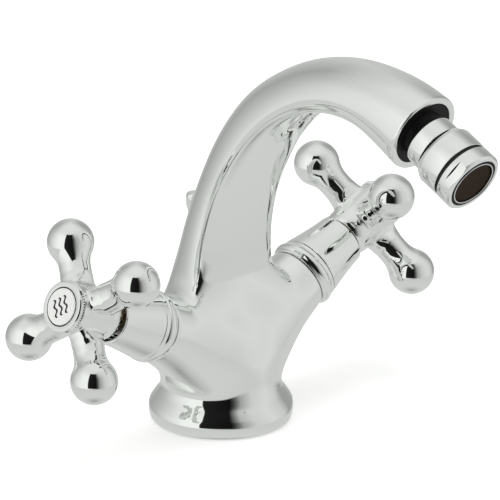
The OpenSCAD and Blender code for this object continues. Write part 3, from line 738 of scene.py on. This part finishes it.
HOT_TURN, COLD_TURN = 35.7, -38.5
print("valve axes:", [[round(v, 3) for v in joints[j]["axis"]] for j in ("hot_turn", "cold_turn")])

# %% [markdown]
# ### Trim rings and bells
# A beaded ring hides the joint between each arm and its cartridge, and a bell-shaped cover runs from
# it to the handle. Both are thin shells round the cartridge, so their outlines are closed loops.

# %% Trim rings and bells
ring_outline = [(11.7, 40.08), (12.3, 40.08), (12.55, 40.35)]
ring_outline += [(10.3 + 3.2 * math.cos(math.radians(a)), 42.85 + 2.72 * math.sin(math.radians(a)))
                 for a in range(-40, 41, 8)]
ring_outline += [(12.62, 45.3), (12.62, 46.22), (11.7, 46.22)]
trim = turned("trim_ring_skin", soften(ring_outline, 0.3))
both_sides(trim, "trim_ring")
bell_outline = [(11.3, 46.36), (12.66, 46.36)]
bell_outline += [(12.7 - 2.8 * (1 - (1 - k / 12) ** 1.3), 46.3 + 18 * k / 12) for k in range(1, 13)]
bell_outline += [(8.7, 64.3), (8.7, 60), (10.4, 50.5), (11.3, 48.5)]
bell_skin = turned("bell_skin", soften(bell_outline, 0.35))
both_sides(bell_skin, "bell")
print("ring and bell outlines:", len(ring_outline), len(bell_outline))

# %% [markdown]
# ### Cross handles
# Four arms that end in balls grow out of a hub, with a soft hollow where they leave it. One turned
# shape cannot give that hollow, so the hub is a cage again: two faces by two faces on each of its
# four sides are extruded to an arm of eight points a ring. After the skin is made, the arms are
# trued up to the exact outline of a neck that swells into a ball, as a finishing cut would. The skin
# of an eight-sided cage comes to 0.9024 of the cage's own radius, which the rings allow for.

# %% Outline of a handle arm
HUB = ((4.5, 65.5), (7.2, 65.5), (8.1, 65.62), (8.6, 66.4), (9.15, 68.0), (9.42, 70.3), (9.5, 72.4),
       (9.5, 77.8), (9.5, 83.2), (9.4, 84.9), (9.25, 85.75), (8.95, 86.0), (7.6, 86.0), (4.5, 86.0))
HUB_ARM_ROWS = (6, 7, 8)
BALL_AT, BALL_R, NECK_R, FILLET = 26.9, 8.6, 5.8, 10.0
FILLET_START = BALL_AT - math.sqrt((BALL_R + FILLET) ** 2 - (NECK_R + FILLET) ** 2)
BALL_START = BALL_AT - (BALL_AT - FILLET_START) * BALL_R / (BALL_R + FILLET)


def arm_radius(x):
    if x < FILLET_START:
        return NECK_R
    if x < BALL_START:
        return NECK_R + FILLET - math.sqrt(FILLET ** 2 - (x - FILLET_START) ** 2)
    return math.sqrt(max(BALL_R ** 2 - (x - BALL_AT) ** 2, 0))


EIGHT_SIDED = 0.9024
ARM_AT = (12.4, 15, 17.5, 20, 22.4, 24.7, 27, 29.4, 31.7, 33.6)
print("fillet from", round(FILLET_START, 2), "ball from", round(BALL_START, 2))

# %% Cage of the hub
hub_rows = [[Vector((r * math.cos(math.radians(22.5 * k)), r * math.sin(math.radians(22.5 * k)), z))
             for k in range(16)] for r, z in HUB]
hub_cage = settle(hub_rows)
bpy.ops.object.select_all(action="DESELECT")
bpy.ops.mesh.primitive_circle_add(vertices=16, radius=HUB[0][0], fill_type="NOTHING")
handle_skin = bpy.context.object
handle_skin.name = "handle_skin"
bpy.ops.object.mode_set(mode="EDIT")
bpy.ops.mesh.select_all(action="SELECT")
put(handle_skin, [Vector((p.x, p.y, 0)) for p in hub_rows[0]], hub_cage[0])
for before, after in zip(hub_cage, hub_cage[1:]):
    pull(handle_skin, before, after)
bpy.ops.mesh.edge_face_add()
select_points(handle_skin, hub_cage[0])
bpy.ops.mesh.edge_face_add()
print("hub cage:", len(points_of(handle_skin)), "points")

# %% Pull out the four arms
ROOT_R, TIP_AT = 6.1, 35.9
PATCH = [(0, -1), (0, 0), (0, 1), (1, 1), (2, 1), (2, 0), (2, -1), (1, -1)]
for quarter in range(4):
    spin_by = Matrix.Rotation(math.pi / 2 * quarter, 3, "Z")
    here = [hub_cage[HUB_ARM_ROWS[r]][(4 * quarter + c) % 16] for r, c in PATCH + [(1, 0)]]
    select_points(handle_skin, here)
    for x in ARM_AT:
        radius = (ROOT_R if x == ARM_AT[0] else arm_radius(x)) / EIGHT_SIDED
        there = [Vector((x, radius * math.cos(math.radians(225 + 45 * j)),
                         CROSS_AT + radius * math.sin(math.radians(225 + 45 * j)))) for j in range(8)]
        there.append(Vector((x if x < ARM_AT[-1] else TIP_AT, 0, CROSS_AT)))
        there = [spin_by @ p for p in there]
        pull(handle_skin, here, there)
        here = there
bpy.ops.mesh.select_all(action="SELECT")
bpy.ops.mesh.normals_make_consistent(inside=False)
bpy.ops.object.mode_set(mode="OBJECT")
skin = handle_skin.modifiers.new("skin", "SUBSURF")
skin.levels = skin.render_levels = 3
apply_all(handle_skin)
print("handle faces:", len(handle_skin.data.polygons))

# %% [markdown]
# ### True up the arms
# The skin of a cage is only nearly round. Each point beyond the hollow is therefore moved on to the
# exact neck or ball, and over a short stretch the move fades in, so that no step shows.

# %% True up the arms
TRUE_FROM, TRUE_OVER = 12.5, 2.5
for v in handle_skin.data.vertices:
    quarter = round(math.atan2(v.co.y, v.co.x) / (math.pi / 2))
    spin_by = Matrix.Rotation(math.pi / 2 * quarter, 3, "Z")
    p = spin_by.inverted() @ v.co - Vector((0, 0, CROSS_AT))
    around = Vector((0, p.y, p.z))
    if p.x <= TRUE_FROM or around.length < 1e-6 and p.x < 30:
        continue
    blend = ease((p.x - TRUE_FROM) / TRUE_OVER)
    if p.x > BALL_START + 0.4:
        middle = Vector((BALL_AT, 0, 0))
        true = middle + (p - middle).normalized() * BALL_R
    else:
        true = Vector((p.x, 0, 0)) + around.normalized() * arm_radius(p.x)
    v.co = spin_by @ (p + (true - p) * blend + Vector((0, 0, CROSS_AT)))
handle_skin.data.update()
both_sides(handle_skin, "handle", HOT_TURN, COLD_TURN)
print("handles done")

# %% [markdown]
# ### Caps
# Each handle ends in a cap: a knurled chrome ring that can be gripped to unscrew it, with a glazed
# white disc let into its face. The knurl is cut by drawing every second edge of the band inwards.

# %% Knurled ring and white disc
KNURLS, KNURL_DEPTH = 60, 0.5
ring = [(7.22, 88.66), (7.22, 86.85), (4.5, 86.85), (4.5, 83.6), (6.5, 83.6), (6.5, 86.05), (9.1, 86.05),
        (9.36, 86.3), (9.36, 86.6), (9.36, 88.0), (9.36, 88.2), (8.95, 88.66)]
cap = turned("cap_ring_skin", soften(ring, 0.12, 2), steps=KNURLS * 2)
for v in cap.data.vertices:
    flat_r = math.hypot(v.co.x, v.co.y)
    tooth = round(math.atan2(v.co.y, v.co.x) / (math.pi / KNURLS)) % 2
    if flat_r > 9.3 and 86.5 < v.co.z < 88.1 and tooth:
        v.co.xy *= 1 - KNURL_DEPTH / flat_r
both_sides(cap, "cap_ring", HOT_TURN, COLD_TURN)
disc_outline = [(0, 86.9), (6.76, 86.9), (6.76, 88.85), (6.3, 89.17), (0, 89.17)]
disc = turned("cap_disc_skin", soften(disc_outline, 0.25, 3, False), closed=False)
both_sides(disc, "cap_disc", HOT_TURN, COLD_TURN)
print("knurls:", KNURLS)

# %% [markdown]
# ## Swivel aerator
# A ball sits in the spout's mouth, and the aerator hangs from it. The pieces are turned too, on the
# aerator's own axis: it starts at the ball's centre, which the joints give, and points 26 degrees
# below the level. The ball gets the black plastic finish as painted shade: its black stands in for the
# dark reflections in the chrome neck inside the mouth. Its collar is chromed.

# %% Ball and collar
NOZZLE_FALL = math.radians(26)
nozzle_place = (Matrix.Translation(Vector(joints["nozzle_tilt"]["pos_m"]))
                @ Matrix.Rotation(math.pi / 2 + NOZZLE_FALL, 4, "X"))
ball_arc = [(9 * math.cos(math.radians(a)), 9 * math.sin(math.radians(a))) for a in range(-44, 44, 4)]
ball_outline = [(4.5, -6.4), (6.2, -6.4)] + ball_arc + [(6.5, 6.3), (6.5, 6.75), (4.5, 6.75)]
ball_skin = turned("ball_skin", soften(ball_outline, 0.2))
seat(ball_skin, nozzle_place, "swivel_ball")
# The black plastic finish on the ball is painted shade, standing in for dark reflections in the chrome neck.
ball_skin.data.materials.clear()
ball_skin.data.materials.append(finishes["black_plastic"])
collar_outline = [(5.2, 6.4), (8.8, 6.1), (9.3, 6.2), (9.85, 6.8), (9.85, 12.98), (5.2, 12.98)]
seat(turned("collar_skin", soften(collar_outline, 0.3)), nozzle_place, "swivel_ball")
print("aerator at", [round(v, 4) for v in nozzle_place.translation])

# %% Sleeve, gasket and housing
sleeve_outline = [(9.2, 13.05), (10.3, 13.05), (11.6, 15.3), (11.75, 15.8), (11.75, 23.88), (9.6, 23.88),
                  (9.6, 18), (9.2, 18)]
seat(turned("sleeve_skin", soften(sleeve_outline, 0.22)), nozzle_place, "nozzle_sleeve")
gasket_outline = [(9.7, 23.92), (11.2, 23.92), (11.36, 24.55), (11.2, 25.18), (9.7, 25.18)]
seat(turned("gasket_skin", soften(gasket_outline, 0.3)), nozzle_place, "nozzle_gasket")
housing_outline = [(9.7, 25.22), (11.75, 25.22), (11.75, 30.45), (11.0, 31.2), (9.85, 31.2), (9.85, 26.4),
                   (9.7, 26.2)]
housing = turned("housing_skin", soften(housing_outline, 0.22))
print("housing faces before the flats:", len(housing.data.polygons))

# %% [markdown]
# The housing is screwed on until it is tight, so its two spanner flats stop at any angle. A cube
# turned to that angle planes one of them off, and a second cube opposite does the other.

# %% Spanner flats
FLATS_TURN = -31.5
for turn in (FLATS_TURN, FLATS_TURN + 180):
    bpy.ops.object.select_all(action="DESELECT")
    bpy.ops.mesh.primitive_cube_add(size=1)
    tool = bpy.context.object
    tool.matrix_world = (Matrix.Rotation(math.radians(turn), 4, "Z") @ Matrix.Translation((-16, 0, 29.8))
                         @ Matrix.Diagonal((10, 30, 5, 1)))
    carve(housing, tool)
seat(housing, nozzle_place, "aerator_housing")
print("housing faces:", len(housing.data.polygons))

# %% [markdown]
# The outlet screen is a woven wire cloth. A grid primitive gives its cells, the cells outside the
# circle are deleted, and the Wireframe modifier turns the edges that are left into wires.

# %% Outlet screen
CELLS, WIRE = 32, 0.36
bpy.ops.object.select_all(action="DESELECT")
bpy.ops.mesh.primitive_grid_add(x_subdivisions=CELLS, y_subdivisions=CELLS, size=17.2)
screen = bpy.context.object
screen.name = "screen_skin"
bpy.ops.object.mode_set(mode="EDIT")
bpy.ops.mesh.select_all(action="DESELECT")
for v in points_of(screen):
    v.select = v.co.xy.length > 8.3
bmesh.from_edit_mesh(screen.data).select_flush(True)
bpy.ops.mesh.delete(type="VERT")
bpy.ops.mesh.select_all(action="SELECT")
bpy.ops.transform.translate(value=(0, 0, 30.5))
bpy.ops.object.mode_set(mode="OBJECT")
wires = screen.modifiers.new("wires", "WIREFRAME")
wires.thickness = WIRE
apply_all(screen)
seat(screen, nozzle_place, "aerator_screen")
print("screen faces:", len(screen.data.polygons))

# %% [markdown]
# Two thin rings close the outlet: a black one inside the housing and a bright one round the screen.
# The lift knob stands on its rod behind the column. All four are turned again.

# %% Outlet rings and lift knob
black_outline = [(8.92, 26.9), (9.8, 26.9), (9.8, 31.0), (8.92, 31.0)]
seat(turned("outlet_ring_skin", soften(black_outline, 0.2)), nozzle_place, "aerator_ring")
rim_outline = [(8.36, 29.5), (8.88, 29.5), (8.88, 31.3), (8.36, 31.3)]
seat(turned("outlet_rim_skin", soften(rim_outline, 0.15)), nozzle_place, "aerator_rim")
rod_place = Matrix.Translation((0, ROD_BACK * MM, 0))
knob_outline = [(0, 75.0), (2.5, 75.0), (2.5, 76.4), (2.9, 78.2), (3.2, 79.2), (3.2, 83.0), (2.75, 83.75),
                (1.8, 84.0), (0, 84.0)]
seat(turned("knob_skin", soften(knob_outline, 0.35, 3, False), 64, False), rod_place, "lift_knob")
rod_outline = [(0, 1.0), (2.0, 1.0), (2.0, 75.1), (0, 75.1)]
seat(turned("rod_skin", soften(rod_outline, 0.3, 3, False), 48, False), rod_place, "lift_rod")

# %% [markdown]
# ## End
# The last cell only imports json again.

# %% Import json
import json
